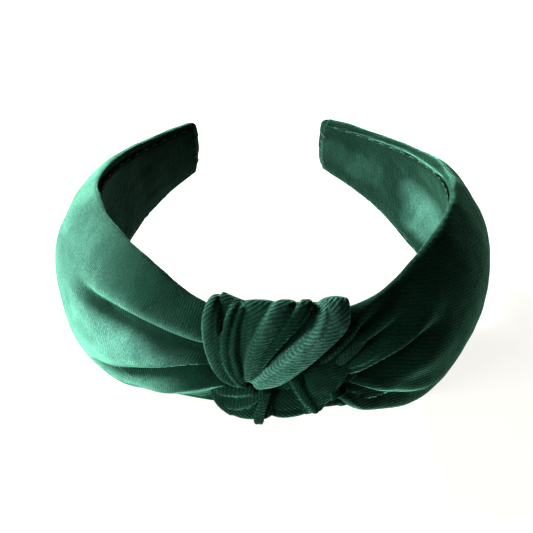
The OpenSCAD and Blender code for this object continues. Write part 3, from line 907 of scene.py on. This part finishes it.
def knot_piece(name, folds, node, voxel, seed):
    """Folds that press into one piece of cloth: joined, fused, eased and bent round the crown."""
    points, faces, ribs, fold_painted_light, owners, count = [], [], [], [], [], 0
    for number, (key, (spine, grooves)) in enumerate(folds.items()):
        fold, fold_faces, rib = fold_points(spine, grooves)
        points.append(fold)
        ribs.append(rib)
        fold_painted_light.append(np.full(len(fold), FOLD_PAINTED_LIGHT_AND_SHADE.get(key, 0.0)))
        owners.append(np.full(len(fold), number))
        faces += [tuple(i + count for i in f) for f in fold_faces]
        count += len(fold)
    points, ribs, fold_painted_light, owners = (np.concatenate(parts) for parts in (points, ribs, fold_painted_light, owners))
    rough = mesh_object(name + "_rough", points, faces, finish_of("knot"))
    remesh = rough.modifiers.new("fuse", "REMESH")
    remesh.mode = "VOXEL"
    remesh.voxel_size = voxel * MM
    ease = rough.modifiers.new("ease", "SMOOTH")
    ease.factor = 0.5
    ease.iterations = 5
    evaluated = rough.evaluated_get(bpy.context.evaluated_depsgraph_get())
    mesh = bpy.data.meshes.new_from_object(evaluated)
    fused = np.array([v.co for v in mesh.vertices]) / MM
    polygons = [tuple(p.vertices) for p in mesh.polygons]
    bpy.data.objects.remove(rough)
    nearest = kdtree.KDTree(len(points))
    for i, p in enumerate(points):
        nearest.insert(p, i)
    nearest.balance()
    # each point of the fused piece takes the painted light and shade of the fold points near it
    rib, lift = np.zeros(len(fused)), np.zeros(len(fused))
    for i, p in enumerate(fused):
        _, near, distance = (np.array(column) for column in zip(*nearest.find_n(p, 8)))
        weight = 1 / (distance ** 2 + 0.04)
        lift[i] = np.sum(fold_painted_light[near] * weight) / np.sum(weight)
        weight *= owners[near] == owners[near[0]]
        rib[i] = np.sum(ribs[near] * weight) / np.sum(weight)
    fused = fused + 0.1 * wobble(fused, 5, seed)[:, None] * np.array([0.5, 1, 0.5])
    obj = mesh_object(name, on_crown(fused), polygons, finish_of("knot"), rib=rib, lift=lift)
    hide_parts(node)
    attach(obj, "crown")
    return obj


BACKING_HALF_LEN, BACKING_HALF_W = 19.5, 14.5


def make_backing():
    """Strip on the head's side of the crown, with its edges turned under."""
    x = np.linspace(-BACKING_HALF_LEN, BACKING_HALF_LEN, 70)
    t = np.linspace(-1, 1, 44)
    x, t = np.meshgrid(x, t, indexing="ij")
    puff = turned_under(t, BACKING_EDGE)
    flat = np.stack([x, np.full_like(x, -2.9), t * BACKING_HALF_W], -1)
    ease = 0.2 * wobble(flat, 12, 21)
    face = flat.copy()
    face[..., 1] -= 0.05 + (0.55 + ease * 0.5) * puff
    back = flat.copy()
    back[..., 1] += 0.05 + 0.4 * puff
    points, faces = shell(on_crown(back), on_crown(face))
    obj = mesh_object("knot_backing_strip", points, faces, finish_of("lining"), rib=np.tile(x.ravel(), 2))
    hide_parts("knot_backing")
    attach(obj, "crown")


# ---------------------------------------------------------------- stage

CAMERA_LENS = 112.8
CAMERA_TURN, CAMERA_RAISE, CAMERA_ROLL = (math.radians(angle) for angle in (-4.63, 34.04, 0.93))
CAMERA_TARGET = Vector((-1.9, 4.7, 25.0)) * MM
CAMERA_DISTANCE = 0.5759
LIGHTS_AIM_AT = (0, 0, 0.03)
FLOOR_HALF_W = 40.0


def make_camera():
    data = bpy.data.cameras.new("camera")
    data.sensor_width = 36
    data.lens = CAMERA_LENS
    data.clip_end = 20
    camera = bpy.data.objects.new("camera", data)
    bpy.context.scene.collection.objects.link(camera)
    level = math.cos(CAMERA_RAISE)
    back = Vector((math.sin(CAMERA_TURN) * level, -math.cos(CAMERA_TURN) * level, math.sin(CAMERA_RAISE)))
    camera.rotation_mode = "QUATERNION"
    camera.location = CAMERA_TARGET + back * CAMERA_DISTANCE
    aim = (-back).to_track_quat("-Z", "Y")
    camera.rotation_quaternion = Matrix.Rotation(CAMERA_ROLL, 3, back).to_quaternion() @ aim
    bpy.context.scene.camera = camera


def area_light(name, power, size, place, colour):
    data = bpy.data.lights.new(name, "AREA")
    data.shape = "RECTANGLE"
    data.size, data.size_y = size
    data.energy = power
    data.color = linear(colour)[:3]
    light = bpy.data.objects.new(name, data)
    light.location = place
    light.rotation_mode = "QUATERNION"
    light.rotation_quaternion = (Vector(LIGHTS_AIM_AT) - Vector(place)).to_track_quat("-Z", "Y")
    bpy.context.scene.collection.objects.link(light)


def make_floor():
    mesh = bpy.data.meshes.new("floor")
    half = FLOOR_HALF_W
    corners = [(-half, -half, 0), (half, -half, 0), (half, half, 0), (-half, half, 0)]
    mesh.from_pydata(corners, [], [(0, 1, 2, 3)])
    mesh.materials.append(finish_of("board"))
    floor = bpy.data.objects.new("floor", mesh)
    bpy.context.scene.collection.objects.link(floor)


def make_world():
    world = bpy.data.worlds.new("studio")
    world.use_nodes = True
    background = world.node_tree.nodes["Background"]
    background.inputs["Color"].default_value = linear("#FFFDF8")
    background.inputs["Strength"].default_value = 0.012
    bpy.context.scene.world = world
    bpy.context.scene.view_settings.view_transform = "Standard"


# ---------------------------------------------------------------- operators


class HEADBAND_OT_stage(bpy.types.Operator):
    """Make the floor, the studio light and the camera"""
    bl_idname = "headband.stage"
    bl_label = "Stage"

    def execute(self, context):
        look = context.scene.headband_stage
        make_camera()
        make_world()
        make_floor()
        area_light("key", look.key_power, (0.5, 0.4), (-0.72, 0.4, 0.36), "#FFFFFF")
        area_light("side", look.side_power, (0.4, 0.15), (-0.64, -0.42, 0.09), "#FFFFFF")
        area_light("fill", look.fill_power, (0.8, 0.5), (-0.5, -0.7, 0.7), "#FFFCF6")
        return {"FINISHED"}


class HEADBAND_OT_sleeves(bpy.types.Operator):
    """Make the two pleated velvet sleeves"""
    bl_idname = "headband.sleeves"
    bl_label = "Sleeves"

    def execute(self, context):
        for side in SIDE_SIGN:
            make_sleeve(side)
        return {"FINISHED"}


class HEADBAND_OT_linings(bpy.types.Operator):
    """Make the linings and the folded tips"""
    bl_idname = "headband.linings"
    bl_label = "Linings and tips"

    def execute(self, context):
        for side in SIDE_SIGN:
            make_lining(side)
            make_tip(side)
        return {"FINISHED"}


class HEADBAND_OT_inside(bpy.types.Operator):
    """Make the foam strips and finish the plastic core"""
    bl_idname = "headband.inside"
    bl_label = "Foam and core"

    def execute(self, context):
        for side in SIDE_SIGN:
            make_foam(side)
        dress_core()
        return {"FINISHED"}


class HEADBAND_OT_stitches(bpy.types.Operator):
    """Sew the linings, the tips and the knot"""
    bl_idname = "headband.stitches"
    bl_label = "Stitches"

    def execute(self, context):
        for side in SIDE_SIGN:
            make_arm_stitches(side)
        make_knot_stitches()
        return {"FINISHED"}


class HEADBAND_OT_knot(bpy.types.Operator):
    """Tie the knot: its wrap, lobes, gather, loose end, strand and backing"""
    bl_idname = "headband.knot"
    bl_label = "Knot"

    def execute(self, context):
        knot_piece("knot_wrap_folds", WRAP_FOLDS, "knot_wrap", 0.42, 31)
        tail = knot_piece("knot_loose_end", TAIL_FOLDS, "knot_tail", 0.35, 35)
        knot_piece("knot_left_lobe_folds", LEFT_LOBE_FOLDS, "knot_left_lobe", 0.4, 32)
        knot_piece("knot_right_lobe_folds", RIGHT_LOBE_FOLDS, "knot_right_lobe", 0.4, 33)
        knot_piece("knot_gather_pleats", GATHER_FOLDS, "knot_right_gather", 0.4, 34)
        knot_piece("knot_strand", STRAND_FOLDS, "knot_inner_strand", 0.5, 36)
        make_backing()
        return {"FINISHED"}


class HEADBAND_PT_panel(bpy.types.Panel):
    """Lists the headband's pieces and settings"""
    bl_idname = "HEADBAND_PT_panel"
    bl_label = "Knotted headband"
    bl_space_type = "VIEW_3D"
    bl_region_type = "UI"
    bl_category = "Headband"

    def draw(self, context):
        for group in SETTINGS:
            box = self.layout.box()
            box.label(text=group.split("_")[1].capitalize())
            settings = getattr(context.scene, group)
            for key in settings.__annotations__:
                box.prop(settings, key)
        for operator in STEPS:
            self.layout.operator(operator.bl_idname)


STEPS = (
    HEADBAND_OT_stage, HEADBAND_OT_sleeves, HEADBAND_OT_linings, HEADBAND_OT_inside,
    HEADBAND_OT_stitches, HEADBAND_OT_knot,
)
SETTINGS = {
    "headband_velvet": VelvetSettings,
    "headband_trim": TrimSettings,
    "headband_stage": StageSettings,
}


def register():
    for cls in (*SETTINGS.values(), *STEPS, HEADBAND_PT_panel):
        bpy.utils.register_class(cls)
    for key, cls in SETTINGS.items():
        setattr(bpy.types.Scene, key, bpy.props.PointerProperty(type=cls))


def unregister():
    for key in SETTINGS:
        delattr(bpy.types.Scene, key)
    for cls in (HEADBAND_PT_panel, *reversed(STEPS), *reversed(SETTINGS.values())):
        bpy.utils.unregister_class(cls)


def main():
    register()
    for step in STEPS:
        getattr(bpy.ops.headband, step.bl_idname.split(".")[1])()


if __name__ == "__main__":
    main()
